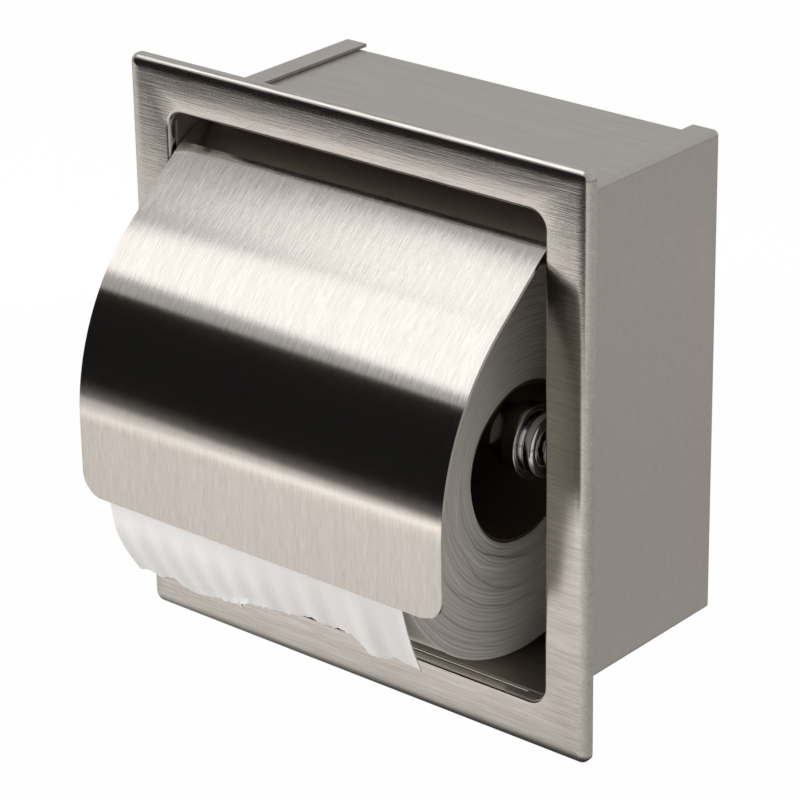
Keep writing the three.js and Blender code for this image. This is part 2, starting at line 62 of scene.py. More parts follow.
MM = 0.001
WHITE = 1, 1, 1, 1
SHARP = 40  # degrees between two faces from which their edge stays sharp
AXIS_Y = 0.0, 1.0, 0.0
AXIS_Z = 0.0, 0.0, 1.0
CAMERA_AT = 0.5728, -0.6554, 0.3829
FLOOR_REACH = 4


def middle(node):
    """The middle of a frame node's box."""
    low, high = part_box(node)
    return (low + high) / 2


FRAME_LOW, FRAME_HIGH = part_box("front_frame")
BOX_LOW, BOX_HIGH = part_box("right_side_panel")
SHELL_LOW, SHELL_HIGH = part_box("housing_shell")
HOOD_LOW, HOOD_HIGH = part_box("hood")
ROD = middle("hinge_rod")
ROLLER = middle("roller_barrel")
PAPER = middle("paper_roll")
PAPER_LOW, PAPER_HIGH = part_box("paper_roll")


# ---- sizes and colours a user would change ------------------------------------------------------
def length(name, description, default):
    return FloatProperty(name=name, description=description, default=default, min=0.0,
                         unit="LENGTH", subtype="DISTANCE", precision=5)


def angle(name, description, degrees):
    return FloatProperty(name=name, description=description, default=math.radians(degrees),
                         subtype="ANGLE", unit="ROTATION")


def share(name, description, default):
    return FloatProperty(name=name, description=description, default=default, min=0.0, max=1.0,
                         subtype="FACTOR")


def colour(name, description, default):
    return FloatVectorProperty(name=name, description=description, default=default, size=3,
                               min=0.0, max=1.0, subtype="COLOR")


class HolderFrameSizes(bpy.types.PropertyGroup):
    gauge: length("Sheet", "Gauge of the frame and the box", 1 * MM)
    corner: length("Outer corner", "Radius of the frame's corners", 3 * MM)
    rim: length("Rim bend", "Radius of the bend round the outside", 2 * MM)
    opening_width: length("Opening width", "Between the turned-in lips", 131.2 * MM)
    opening_height: length("Opening height", "Between the turned-in lips", 140.996 * MM)
    opening_corner: length("Opening corner", "Radius of the opening's corners", 5 * MM)
    lip: length("Lip bend", "Radius of the bend round the opening", 1.25 * MM)
    lip_end: length("Lip stop", "How far the lip stops before the wall's face", 0.0)
    lip_lean: length("Lip lean", "How far the bottom lip leans up at its end", 0.25 * MM)
    dish: length("Dish", "How far the face falls away next to the opening", 0.2 * MM)


class HolderBoxSizes(bpy.types.PropertyGroup):
    front: length("Front", "How far the box's mouth lies behind the wall's face", 0.02 * MM)
    fold: length("Fold", "Width of the side panels' folds", 8.4 * MM)
    fold_radius: length("Fold radius", "Outer radius of the folds", 1.6 * MM)
    wall_hole: length("Wall screw hole", "Diameter of the holes in the back", 5 * MM)
    wall_spacing: length("Hole spacing", "Between the two holes in the back", 76 * MM)
    weld_depth: length("Weld dimple", "Depth of a spot weld's dimple", 0.2 * MM)
    weld_radius: length("Weld radius", "Radius of a spot weld's dimple", 0.9 * MM)


class HolderHoodSizes(bpy.types.PropertyGroup):
    gauge: length("Sheet", "Gauge of the hood", 1 * MM)
    bend: length("Bend", "Radius of the long bend", 68 * MM)
    slope: angle("Slope", "Rise of the straight upper part", 39)
    crease_in: length("Crease", "How far the crease lies behind the wall's face", 0.9 * MM)
    crease_up: length("Crease height", "Height of the crease over the frame's middle", 61.048 * MM)
    crease_radius: length("Crease radius", "How sharp the crease is", 0.7 * MM)
    bow: length("Bow", "How far the straight upper part swells", 0.2 * MM)
    leg_slope: angle("Leg slope", "Rise of the leg behind the crease", 27)
    leg: length("Leg", "Length of the leg", 12.5 * MM)
    corner: length("Corner", "Radius of the lower corners", 7 * MM)
    knuckle: length("Knuckle", "Outer radius of the end rolled round the rod", 3.1 * MM)
    knuckle_turn: angle("Knuckle turn", "How far the end is rolled", 280)
    knuckle_setback: length("Knuckle setback", "How much shorter it is at each end", 6.5 * MM)


class HolderRollerSizes(bpy.types.PropertyGroup):
    post: length("Post", "Diameter of the posts", 14.6 * MM)
    pin: length("Pin", "Diameter of the roller's pins", 6 * MM)
    bead: length("Bead", "Diameter of the beads", 17.9 * MM)
    knob: length("Knob", "Diameter of the knobs", 20.8 * MM)
    shaft: length("Shaft", "Diameter of the sliding shaft", 16.2 * MM)
    barrel: length("Barrel", "Diameter of the barrel", 28.8 * MM)
    barrel_wall: length("Barrel wall", "Wall of the barrel", 1.2 * MM)
    wire: length("Spring wire", "Diameter of the spring's wire", 1.3 * MM)
    turns: IntProperty(name="Spring turns", description="Turns of the spring", default=7, min=3)


class HolderPaperSizes(bpy.types.PropertyGroup):
    core_bore: length("Core bore", "Bore of the cardboard core", 43.6 * MM)
    core_wall: length("Core wall", "Wall of the cardboard core", 1 * MM)
    recess: length("Core recess", "How far the core ends inside the roll", 1.4 * MM)
    step: length("Layer step", "How far groups of layers stand back at the ends", 0.75 * MM)
    tail: length("Sheet", "Thickness of the loose sheet", 0.3 * MM)
    seed: IntProperty(name="Seed", description="Pattern of the layers and of the torn edge",
                      default=11)


class HolderFinishes(bpy.types.PropertyGroup):
    steel: colour("Brushed steel", "Colour of the brushed sheet", (0.62, 0.585, 0.55))
    steel_rough: share("Brushed roughness", "Roughness of the brushed sheet", 0.24)
    # darker than the brushed steel: partly the duller inside finish, partly painted shade for the
    # box's inside and the sheets' cut edges
    inside: colour("Inside of the box", "Colour of the box's dull inside", (0.42, 0.38, 0.34))
    roll: colour("Roll", "Colour of the roll", (0.94, 0.893, 0.835))
    # the core's grey-brown darkened well below real card: painted shade for the deep inside of the
    # core
    card: colour("Card", "Colour of the core", (0.15, 0.108, 0.075))


class HolderStage(bpy.types.PropertyGroup):
    azimuth: angle("Azimuth", "How far the camera stands to the right", 40.45)
    elevation: angle("Elevation", "How far it looks down", 23.74)
    roll: angle("Roll", "How far it leans", -0.95)
    lens: FloatProperty(name="Lens", description="Focal length on a 36 mm sensor, in mm",
                        default=156.78)
    floor_drop: length("Floor", "How far the floor lies under the holder", 0.25)


# ---- shapes -------------------------------------------------------------------------------------
def rounded(corners, steps=8):
    """A line of (a, b, radius) corners. Each corner is replaced by the arc of its radius that
    touches both legs: its centre lies on the bisector at radius / sin(half angle)."""
    out = [np.array(corners[0][:2], float)[None]]
    for before, here, after in zip(corners, corners[1:], corners[2:]):
        p, r = np.array(here[:2], float), here[2]
        if r <= 0:
            out.append(p[None])
            continue
        into, leave = (np.array(q[:2], float) - p for q in (before, after))
        into, leave = into / np.linalg.norm(into), leave / np.linalg.norm(leave)
        half = math.acos(np.clip(into @ leave, -1, 1)) / 2
        way = (into + leave) / np.linalg.norm(into + leave)
        centre = p + way * r / math.sin(half)
        first = p + into * r / math.tan(half) - centre
        last = p + leave * r / math.tan(half) - centre
        t = np.linspace(0, 1, steps + 1)[:, None]
        whole = math.pi - 2 * half
        out.append(centre + (first * np.sin((1 - t) * whole) + last * np.sin(t * whole))
                   / math.sin(whole))
    out.append(np.array(corners[-1][:2], float)[None])
    return np.vstack(out)


def run_length(line):
    """Distance along a line of points, from its first."""
    return np.concatenate([[0], np.cumsum(np.linalg.norm(np.diff(line, axis=0), axis=1))])


def resampled(line, step):
    """The same line with extra points, so that none are further apart than the step."""
    gaps = np.linalg.norm(np.diff(line, axis=0), axis=1)
    parts = np.maximum(np.ceil(gaps / step), 1).astype(int)
    at = np.repeat(np.arange(len(gaps)), parts)
    t = (np.arange(parts.sum()) - np.repeat(np.cumsum(parts) - parts, parts)) / parts[at]
    return np.vstack([line[at] + (line[at + 1] - line[at]) * t[:, None], line[-1:]])


def new_piece(name, points, faces, uv=None):
    """A mesh object from point and quad arrays, its doubles merged."""
    mesh = bpy.data.meshes.new(name)
    mesh.vertices.add(len(points))
    mesh.vertices.foreach_set("co", points.astype(np.float32).ravel())
    mesh.loops.add(faces.size)
    mesh.loops.foreach_set("vertex_index", faces.astype(np.int32).ravel())
    mesh.polygons.add(len(faces))
    mesh.polygons.foreach_set("loop_start", np.arange(0, faces.size, 4, dtype=np.int32))
    mesh.update(calc_edges=True)
    if uv is not None:
        layer = mesh.uv_layers.new(name="Lay")
        layer.data.foreach_set("uv", uv[faces.ravel()].astype(np.float32).ravel())
    work = bmesh.new()
    work.from_mesh(mesh)
    bmesh.ops.remove_doubles(work, verts=work.verts, dist=1e-7)
    bmesh.ops.dissolve_degenerate(work, edges=work.edges, dist=1e-8)
    work.to_mesh(mesh)
    work.free()
    mesh.validate()
    piece = bpy.data.objects.new(name, mesh)
    bpy.context.scene.collection.objects.link(piece)
    return piece


def surface(name, points, wrap_u=False, wrap_v=False, keep=None, uv=None, towards=None):
    """A grid of points as quads: point (i, j) joins (i+1, j) and (i, j+1), and a wrapped direction
    joins its last to its first. A closed one faces out by its volume, an open one faces the
    direction given by towards at its first kept quad."""
    nu, nv = points.shape[:2]
    i = np.arange(nu if wrap_u else nu - 1)[:, None]
    j = np.arange(nv if wrap_v else nv - 1)[None, :]
    i2, j2 = (i + 1) % nu, (j + 1) % nv
    quads = np.stack([i * nv + j, i2 * nv + j, i2 * nv + j2, i * nv + j2], -1)
    if keep is not None:
        quads = quads[keep]
    quads = quads.reshape(-1, 4)
    flat = points.reshape(-1, 3)
    a, b, c, d = (flat[quads[:, k]] for k in range(4))
    normal = np.cross(c - a, d - b)
    turn = (normal * (a + c)).sum() if towards is None else normal[0] @ np.array(towards)
    if turn < 0:
        quads = quads[:, ::-1]
    return new_piece(name, flat, quads, None if uv is None else uv.reshape(-1, 2))


def turned(name, profile, at, segments=96, closed=False, steps=6, gap=None):
    """A profile of (x, radius, corner radius) turned about the line along X through at: the point
    at angle t is (x, radius cos t, radius sin t). A gap leaves out part of the turn."""
    line = rounded(profile + profile[:1] if closed else profile, steps)
    if closed:
        line = line[:-1]
    if gap is None:
        t = np.arange(segments) * 2 * np.pi / segments
    else:
        t = np.linspace(gap / 2, 2 * np.pi - gap / 2, segments)
    x, r = line[:, :1], line[:, 1:]
    points = np.stack([x + 0 * t, r * np.cos(t), r * np.sin(t)], -1) + np.array([0, at[1], at[2]])
    if gap is not None:
        shut = points[:, [0, -1]].mean(0, keepdims=True)
        ends = np.concatenate([points[:, :1] * 0 + shut[:, :1], points,
                               points[:, :1] * 0 + shut[:, 1:]], 1)
        return surface(name, ends, wrap_u=True)
    return surface(name, points, wrap_u=closed, wrap_v=True)


def swept(name, path, section):
    """A closed section of (a, b) points carried along a path: each ring lies in the plane across
    the path, with b along the direction away from the X axis through the path's middle."""
    way = np.gradient(path, axis=0)
    way /= np.linalg.norm(way, axis=1, keepdims=True)
    out = path - path.mean(0)
    out[:, 0] = 0
    out -= (out * way).sum(1, keepdims=True) * way
    out /= np.linalg.norm(out, axis=1, keepdims=True)
    side = np.cross(way, out)
    rings = (path[:, None] + section[None, :, :1] * side[:, None]
             + section[None, :, 1:] * out[:, None])
    caps = np.concatenate([rings[:1] * 0 + path[0], rings, rings[:1] * 0 + path[-1]])
    return surface(name, caps, wrap_v=True)


def applied(piece):
    """The piece's mesh with its modifiers worked in."""
    graph = bpy.context.evaluated_depsgraph_get()
    mesh = bpy.data.meshes.new_from_object(piece.evaluated_get(graph), depsgraph=graph)
    piece.modifiers.clear()
    piece.data = mesh
    mesh.name = piece.name


def sheet_metal(piece, gauge, edge=0.18 * MM, cutters=(), finish=()):
    """Gives a sheet its gauge away from its face, cuts its holes and breaks its edges. A second
    finish goes on its back."""
    for material in finish:
        piece.data.materials.append(material)
    wall = piece.modifiers.new("gauge", "SOLIDIFY")
    wall.material_offset = wall.material_offset_rim = max(len(finish) - 1, 0)
    wall.thickness, wall.offset, wall.use_even_offset = gauge, -1, True
    bored(piece, *cutters)
    break_edges(piece, edge)


def break_edges(piece, edge):
    """Rounds the sharp edges a little and keeps the flats flat in the shading."""
    if edge:
        bevel = piece.modifiers.new("edges", "BEVEL")
        bevel.width, bevel.segments, bevel.limit_method = edge, 2, "ANGLE"
        bevel.angle_limit, bevel.use_clamp_overlap = math.radians(50), True
    applied(piece)
    smooth(piece, SHARP)


def smooth(piece, sharp):
    piece.data.shade_smooth()
    piece.data.set_sharp_from_angle(angle=math.radians(sharp))
    flat = piece.modifiers.new("flats", "WEIGHTED_NORMAL")
    flat.keep_sharp, flat.weight = True, 60
    applied(piece)


def drill(diameter, start, end, sides=48, first=AXIS_Z):
    """A cutter between two points, along X or Y, with its first corner in the given direction."""
    start, end = np.array(start, float), np.array(end, float)
    t = np.arange(sides)[:, None] * 2 * np.pi / sides
    along = (end - start) / np.linalg.norm(end - start)
    ring = (np.cos(t) * first + np.sin(t) * np.cross(along, first)) * diameter / 2
    rings = np.stack([start + 0 * ring, start + ring, end + ring, end + 0 * ring])
    return surface("cutter", rings, wrap_v=True)


def bored(piece, *cutters):
    """Cuts the cutters out of a piece and takes them away."""
    for cutter in cutters:
        hole = piece.modifiers.new("hole", "BOOLEAN")
        hole.operation, hole.object, hole.solver = "DIFFERENCE", cutter, "EXACT"
    applied(piece)
    for cutter in cutters:
        bpy.data.objects.remove(cutter)


def waves(u, v, count, u_rate, v_rate, seed):
    """Smooth uneven ground: the mean of many cosines of random direction, wave length and phase.
    v is an angle, so its rates are whole numbers and the pattern closes on itself."""
    rng = np.random.default_rng(seed)
    a = rng.uniform(-u_rate, u_rate, count)
    b = rng.integers(-v_rate, v_rate + 1, count)
    phase = rng.uniform(0, 2 * np.pi, count)
    total = np.cos(u[..., None] * a + v[..., None] * b + phase).sum(-1)
    return total / math.sqrt(count / 2)


def smoothstep(x, low, high):
    """0 below low, 1 above high, and 3t^2 - 2t^3 between them."""
    t = np.clip((x - low) / (high - low), 0, 1)
    return t * t * (3 - 2 * t)


def place(piece, body, slot, *nodes, finished=None, sharp=None):
    """Gives a finished piece its material and its body, and hides the frame nodes that it stands
    for. The material is the slot's own unless another finish is named."""
    if sharp:
        smooth(piece, sharp)
    if not piece.data.materials:
        piece.data.materials.append(finish(finished or slot))
    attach(piece, body)
    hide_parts(*nodes)
    return piece


def mirrored(profile, side):
    """A profile of (x, radius, corner radius), turned round to the other side when side is -1."""
    return [(side * x, radius, corner) for x, radius, corner in profile]


# ---- materials ----------------------------------------------------------------------------------
class Value:
    """A socket that Python's operators work on: each adds the Math node that it stands for."""

    def __init__(self, net, socket):
        self.net, self.socket = net, socket

    def math(self, operation, *others):
        return self.net.add("Math", {"operation": operation}, (self, *others))

    def __add__(self, other):
        return self.math("ADD", other)

    __radd__ = __add__

    def __mul__(self, other):
        return self.math("MULTIPLY", other)

    __rmul__ = __mul__

    def __sub__(self, other):
        return self.math("SUBTRACT", other)

    def __rsub__(self, other):
        return self.net.add("Math", {"operation": "SUBTRACT"}, (other, self))

    def __pow__(self, other):
        return self.math("POWER", other)

    def ramp(self, low, high):
        """0 at low, 1 at high, smooth between."""
        return self.net.add("MapRange", {"interpolation_type": "SMOOTHSTEP"},
                            {"Value": self, "From Min": low, "From Max": high})


class Net:
    """The node tree of one material or of the world."""

    def __init__(self, owner):
        owner.use_nodes = True
        self.tree = owner.node_tree
        self.tree.nodes.clear()

    def add(self, kind, settings=None, inputs=(), output=0):
        """Any node, by its type without ShaderNode. Settings are set first. Inputs are values or
        sockets, by place or by name."""
        node = self.tree.nodes.new("ShaderNode" + kind)
        for key, setting in (settings or {}).items():
            setattr(node, key, setting)
        for key, value in inputs.items() if isinstance(inputs, dict) else enumerate(inputs):
            if isinstance(value, Value):
                self.tree.links.new(value.socket, node.inputs[key])
            else:
                node.inputs[key].default_value = value
        return Value(self, node.outputs[output]) if node.outputs else None

    def glow(self, strength):
        return self.add("Emission", None, {"Color": WHITE, "Strength": strength})

    def show(self, shader):
        self.add("OutputMaterial", None, {"Surface": shader})

    def place(self):
        return self.add("TexCoord", output="Object")

    def lay(self):
        return self.add("UVMap", {"uv_map": "Lay"})

    def stretched(self, vector, scale):
        return self.add("VectorMath", {"operation": "MULTIPLY"}, (vector, scale))

    def noise(self, vector, scale=1.0, detail=2.0, rough=0.5, warp=0.0):
        return self.add("TexNoise", None, {"Vector": vector, "Scale": scale, "Detail": detail,
                                           "Roughness": rough, "Distortion": warp})

    def mix(self, factor, a, b, blend="MIX"):
        return self.add("Mix", {"data_type": "RGBA", "blend_type": blend},
                        {0: factor, 6: a, 7: b}, output=2)

    def tint(self, colour, value, depth):
        """A colour made lighter and darker by a value round one half."""
        low = tuple(max(c * (1 - depth), 0) for c in colour)
        high = tuple(min(c * (1 + depth), 1) for c in colour)
        return self.mix(value, (*low, 1), (*high, 1))

    def bump(self, height, distance, strength=1.0):
        return self.add("Bump", None, {"Height": height, "Distance": distance,
                                       "Strength": strength})

    def finish(self, **sockets):
        names = {k.replace("_", " ").title().replace("Ior", "IOR"): v for k, v in sockets.items()}
        self.show(self.add("BsdfPrincipled", None, names))


def started(name):
    """A new material, its net and the place of each point."""
    material = bpy.data.materials.new(name)
    net = Net(material)
    return material, net, net.place()


def brushed(name, tint, rough, scale, depth=1.0, laid=False):
    """Steel rubbed with a belt: long fine lines whose height tips the light across the grain, and
    broad faint bands. Scale is the lines' rate per metre along X, Y and Z or along the lay."""
    material, net, at = started(name)
    if laid:
        at = net.lay()
    fine = net.noise(net.stretched(at, scale), detail=3, rough=0.6)
    broad = net.noise(net.stretched(at, tuple(s * 0.18 for s in scale)), detail=2)
    smear = net.noise(at, scale=22, detail=3)
    tone = fine * 0.75 + broad * 0.25
    net.finish(
        base_color=net.tint(tint, tone.ramp(0.3, 0.7), 0.07 * depth),
        metallic=1.0,
        roughness=(fine - 0.5) * 0.1 + (smear - 0.5) * 0.05 + rough,
        normal=net.bump(fine, 0.014 * MM * depth, 0.5))
    return material


def layered(name, tint, centre):
    """The roll: plain tissue round its outside, and on its ends the cut edges of the windings,
    thin rings that wander a little with the angle round the roll's axis."""
    material, net, at = started(name)
    at = net.add("VectorMath", {"operation": "SUBTRACT"}, (at, tuple(centre)))
    y, z = (net.add("SeparateXYZ", None, (at,), output=axis) for axis in (1, 2))
    radius = (y * y + z * z) ** 0.5
    slow = net.noise(at, scale=55, detail=2)
    wander = net.noise(at, scale=140, detail=2)
    rings = net.add("CombineXYZ", None, (radius * 2100 + wander * 1.6, slow * 3.0, 0.0))
    lines = net.noise(rings, scale=1.0, detail=3, rough=0.6)
    groups = net.noise(net.add("CombineXYZ", None, (radius * 420 + wander * 0.8, slow, 4.0)),
                       detail=1)
    fibres = net.noise(at, scale=2400, detail=4, rough=0.6)
    tone = lines * 0.5 + groups * 0.35 + fibres * 0.15
    net.finish(base_color=net.tint(tint, tone.ramp(0.32, 0.68), 0.06),
               roughness=0.95, specular_ior_level=0.12,
               normal=net.bump(lines * 0.7 + fibres * 0.3, 0.12 * MM, 0.8))
    return material


def card(name, tint):
    """Grey-brown card with pressed fibres."""
    # the tint is the card's brown darkened as painted shade for the shaded inside of the core
    material, net, at = started(name)
    fibres = net.noise(net.stretched(at, (500, 1500, 1500)), detail=5, rough=0.65)
    cloud = net.noise(at, scale=120, detail=2)
    net.finish(base_color=net.tint(tint, fibres * 0.6 + cloud * 0.4, 0.25), roughness=0.9,
               specular_ior_level=0.15, normal=net.bump(fibres, 0.05 * MM, 0.6))
    return material


def finish(name):
    """The material of this name, made from the colours in the panel when it is first used. The
    loaded frame already brings plain ones for its slots, which the small pieces keep."""
    f = bpy.context.scene.holder_finishes
    box_grain = 60, 2600, 2600
    makers = {
        "frame_steel": lambda: brushed(name, f.steel, f.steel_rough - 0.06, (80, 3000, 3000), 2.5),
        "hood_steel": lambda: brushed(name, f.steel, f.steel_rough - 0.13, (3800, 190, 1), 1.8,
                                      True),
        "box_steel": lambda: brushed(name, f.steel, f.steel_rough + 0.1, box_grain),
        # the inside copy of the box steel: duller, and darkened as painted shade
        "box_inside_shaded": lambda: brushed(name, f.inside, 0.55, box_grain),
        "roll_ends": lambda: layered(name, f.roll, PAPER),
        "card": lambda: card(name, f.card),
    }
    return bpy.data.materials.get(name) or makers[name]()


# ---- pieces -------------------------------------------------------------------------------------
class HOLDER_OT_front_frame(bpy.types.Operator):
    """Build the pressed front frame"""
    bl_idname = "holder.front_frame"
    bl_label = "Front frame"

    def execute(self, context):
        """Each point of the section is a rounded rectangle: half width w and half height h with
        corner radius r, its corners' arcs turning from 0 to 90 degrees in each quarter. The rim
        bends ever more sharply: its tilt is 90 degrees times (distance along it) ^ 3.4."""
        s = context.scene.holder_frame
        face = FRAME_LOW.y
        full_w, full_h = FRAME_HIGH.x, FRAME_HIGH.z
        up, down = np.radians(np.linspace(0, 90, 13)), np.radians(np.linspace(90, 0, 13))

        u = np.linspace(0, 1, 200)
        tilt = np.pi / 2 * u ** 3.4
        reach = np.concatenate([[0], np.cumsum((np.cos(tilt[1:]) + np.cos(tilt[:-1])) / 2)])
        fall = np.concatenate([[0], np.cumsum((np.sin(tilt[1:]) + np.sin(tilt[:-1])) / 2)])
        reach, fall = reach * s.rim / fall[-1], fall * s.rim / fall[-1]

        def outer(behind, order):
            pick = np.round(np.linspace(0, 1, 23) ** 0.7 * 199).astype(int)[::order]
            inset = reach[-1] - reach[pick] + behind * np.sin(tilt[pick])
            return np.stack([full_w - inset, full_h - inset,
                             np.maximum(s.corner - inset, 0.4 * MM),
                             face + fall[pick] + behind * np.cos(tilt[pick])], 1)

        def inner(radius, a, sink=0.0):
            spread = s.lip - radius * np.cos(a)
            return np.stack([s.opening_width / 2 + spread, s.opening_height / 2 + spread,
                             s.opening_corner + spread,
                             face + s.lip - radius * np.sin(a) + sink], 1)

        first, last = outer(0, 1)[0], inner(s.lip, down, s.dish)[0]
        t = np.linspace(0, 1, 14)[1:-1, None]
        flat = first + (last - first) * t
        flat[:, 3] = face + s.dish * t[:, 0] ** 2.4
        flat[:, 2] = np.linspace(1.2 * MM, last[2], 12)
        lip = inner(s.lip, down, s.dish)
        end = lip[-1:].copy()
        end[:, 3] = -s.lip_end
        lip_back = end + [[s.gauge, s.gauge, s.gauge, 0]]
        rim_foot = np.array([[full_w, full_h, s.corner, 0.0]])
        rim_back = np.array([[full_w - s.gauge, full_h - s.gauge, s.corner - s.gauge, 0.0]])
        section = np.vstack([rim_foot, outer(0, -1), flat, lip, end, lip_back,
                             inner(s.lip - s.gauge, up, s.dish),
                             outer(s.gauge, 1), rim_back])
        quarter = np.arange(4)[:, None] * np.pi / 2
        a = (quarter + np.linspace(0, np.pi / 2, 15)[None]).ravel()
        sx = np.repeat([1, -1, -1, 1], 15)
        sz = np.repeat([1, 1, -1, -1], 15)
        w, h, r, y = (section[:, k, None] for k in range(4))
        points = np.stack([sx * (w - r) + r * np.cos(a), y + 0 * a,
                           sz * (h - r) + r * np.sin(a)], -1)
        lip_end = len(rim_foot) + len(outer(0, -1)) + len(flat) + len(lip)
        points[lip_end, :, 2] += s.lip_lean * (points[lip_end, :, 2] < 0)
        piece = surface("front_frame_pressed", points, wrap_u=True, wrap_v=True)
        place(piece, "housing", "brushed_steel", "front_frame", finished="frame_steel", sharp=50)
        return {"FINISHED"}


class HOLDER_OT_wall_box(bpy.types.Operator):
    """Build the box in the wall: the bent shell and the two folded side panels"""
    bl_idname = "holder.wall_box"
    bl_label = "Wall box"

    def execute(self, context):
        s, gauge = context.scene.holder_box, context.scene.holder_frame.gauge
        # the second finish goes on the backs and cut edges; its darker colour is painted shade
        # inside the box and along the edges' gaps
        steel = finish("box_steel"), finish("box_inside_shaded")
        # The shell's section in (y, z), carried straight across in X.
        y0, y1, z0, z1 = s.front, SHELL_HIGH.y, SHELL_LOW.z, SHELL_HIGH.z
        line = resampled(rounded([(y0, z1, 0), (y1, z1, s.fold_radius), (y1, z0, s.fold_radius),
                                  (y0, z0, 0)], 10), 12 * MM)
        x = np.linspace(SHELL_LOW.x, SHELL_HIGH.x, 13)
        shell = surface("box_shell", np.stack(
            [x[None] + 0 * line[:, :1], line[:, :1] + 0 * x, line[:, 1:] + 0 * x], -1),
            towards=(0, 0, 1))
        mid = (z0 + z1) / 2
        holes = [drill(s.wall_hole, (side * s.wall_spacing / 2, y1 - 3 * gauge, mid),
                       (side * s.wall_spacing / 2, y1 + 3 * gauge, mid)) for side in (-1, 1)]
        sheet_metal(shell, gauge, cutters=holes, finish=steel)
        place(shell, "housing", "brushed_steel", "housing_shell")
        for word, side in (("left", -1), ("right", 1)):
            self.panel(word, side, s, gauge, steel)
        return {"FINISHED"}

    def panel(self, word, side, s, gauge, steel):
        """The panel's section in (x, z), carried back in Y. A spot weld is a dimple of the depth
        times exp(-(distance / radius)^2), with a low ring round it."""
        w, z0, z1 = BOX_HIGH.x, BOX_LOW.z, BOX_HIGH.z
        edge = w - s.fold
        line = rounded([(edge, z1, 0), (w, z1, s.fold_radius), (w, z0, s.fold_radius),
                        (edge, z0, 0)], 10)
        top = resampled(line[:12], 0.3 * MM)
        line = np.vstack([top, resampled(line[12:-12], 14 * MM), resampled(line[-12:], 0.3 * MM)])
        y = np.linspace(s.front, BOX_HIGH.y, 200)
        points = np.stack([side * line[:, :1] + 0 * y, y[None] + 0 * line[:, :1],
                           line[:, 1:] + 0 * y], -1)
        spots = ([(60.7, 53.0), (60.7, 16.0)] if side > 0
                 else [(61.4, 55.0), (62.6, 56.6), (61.6, 16.0)])
        for at_x, at_y in spots:
            far = np.hypot(points[..., 0] - side * at_x * MM, points[..., 1] - at_y * MM)
            size = s.weld_radius if side > 0 else 0.7 * s.weld_radius
            dip = (np.exp(-(far / size) ** 2)
                   - 0.35 * np.exp(-((far - 1.7 * size) / (0.6 * size)) ** 2))
            points[..., 2] -= np.sign(points[..., 2]) * dip * s.weld_depth * (
                np.abs(points[..., 2]) > 0.9 * z1)
        panel = surface(f"{word}_panel", points, towards=(0, 0, 1))
        x0, x1 = side * (w - 3 * gauge), side * (w + 3 * gauge)
        holes = [drill(3.4 * MM, (x0, ROLLER.y, ROLLER.z), (x1, ROLLER.y, ROLLER.z)),
                 drill(4.2 * MM, (x0, ROD.y, ROD.z), (x1, ROD.y, ROD.z))]
        sheet_metal(panel, gauge, cutters=holes, finish=steel)
        place(panel, "housing", "brushed_steel", f"{word}_side_panel")


class HOLDER_OT_hood(bpy.types.Operator):
    """Build the curved hood with its crease, leg and rolled knuckle"""
    bl_idname = "holder.hood"
    bl_label = "Hood"

    def execute(self, context):
        """The line runs up the front, round the long bend, up the slope to the crease, along the
        leg and round the rod. The sheet is that line carried in X; near its foot each row is
        narrower by r - sqrt(r^2 - (r - d)^2), which rounds the corners."""
        s = context.scene.holder_hood
        front, foot, half = HOOD_LOW.y, HOOD_LOW.z, HOOD_HIGH.x
        crease = np.array([s.crease_in, s.crease_up])
        slope = np.array([math.cos(s.slope), math.sin(s.slope)])
        leg = np.array([math.cos(s.leg_slope), math.sin(s.leg_slope)])
        bend_y = front + s.bend
        top = bend_y - s.bend * slope[1]
        bend_z = crease[1] - (crease[0] - top) / slope[0] * slope[1] - s.bend * slope[0]
        a = np.linspace(np.pi / 2, s.slope, 61)
        bend = resampled(np.stack([bend_y - s.bend * np.sin(a), bend_z + s.bend * np.cos(a)], 1),
                         3 * MM)
        phi = np.linspace(0, np.pi / 2, 15)
        rows_foot = foot + s.corner * (1 - np.cos(phi))
        foot_line = np.stack([front + 0 * rows_foot, rows_foot], 1)
        last = crease + s.leg * leg
        near = rounded([tuple(bend[-1]) + (0,), tuple(crease) + (s.crease_radius,),
                        tuple(last) + (0,)], 6)
        rise = np.linspace(0, 1, 25)[1:-1, None]
        bowed = bend[-1] + (near[1] - bend[-1]) * rise
        bowed += (6.75 * s.bow * rise ** 2 * (1 - rise)) * [-slope[1], slope[0]]
        near = np.vstack([near[:1], bowed, near[1:]])
        notch = ROD.y - 3.9 * MM
        turn = np.pi / 2 + s.leg_slope - s.knuckle_turn * np.linspace(0, 1, 49)[1:]
        curl = np.stack([ROD.y + s.knuckle * np.cos(turn), ROD.z + s.knuckle * np.sin(turn)], 1)
        at = np.interp(notch, near[:, 0], np.arange(len(near)))
        whole = int(at)
        cut = near[whole] + (near[whole + 1] - near[whole]) * (at - whole)
        line = np.vstack([foot_line, bend, near[1:whole + 1], cut, near[whole + 1:], curl])
        first_back = len(foot_line) + len(bend) + whole
        x = np.concatenate([np.linspace(-half, -half + s.knuckle_setback, 6)[:-1],
                            np.linspace(-half + s.knuckle_setback, half - s.knuckle_setback, 41),
                            np.linspace(half - s.knuckle_setback, half, 6)[1:]])
        shrink = np.ones(len(line))
        shrink[:len(phi)] = (half - s.corner + s.corner * np.sin(phi)) / half
        points = np.stack([x[None] * shrink[:, None], line[:, :1] + 0 * x, line[:, 1:] + 0 * x],
                          -1)
        run = run_length(line)
        uv = np.stack([points[..., 0], run[:, None] + 0 * x], -1)
        keep = np.ones((len(line) - 1, len(x) - 1), bool)
        keep[first_back:, :5] = False
        keep[first_back:, -5:] = False
        piece = surface("hood_sheet", points, keep=keep, uv=uv, towards=(0, -1, 0))
        sheet_metal(piece, s.gauge, edge=0.2 * MM)
        place(piece, "hood", "brushed_steel", "hood", finished="hood_steel")
        return {"FINISHED"}


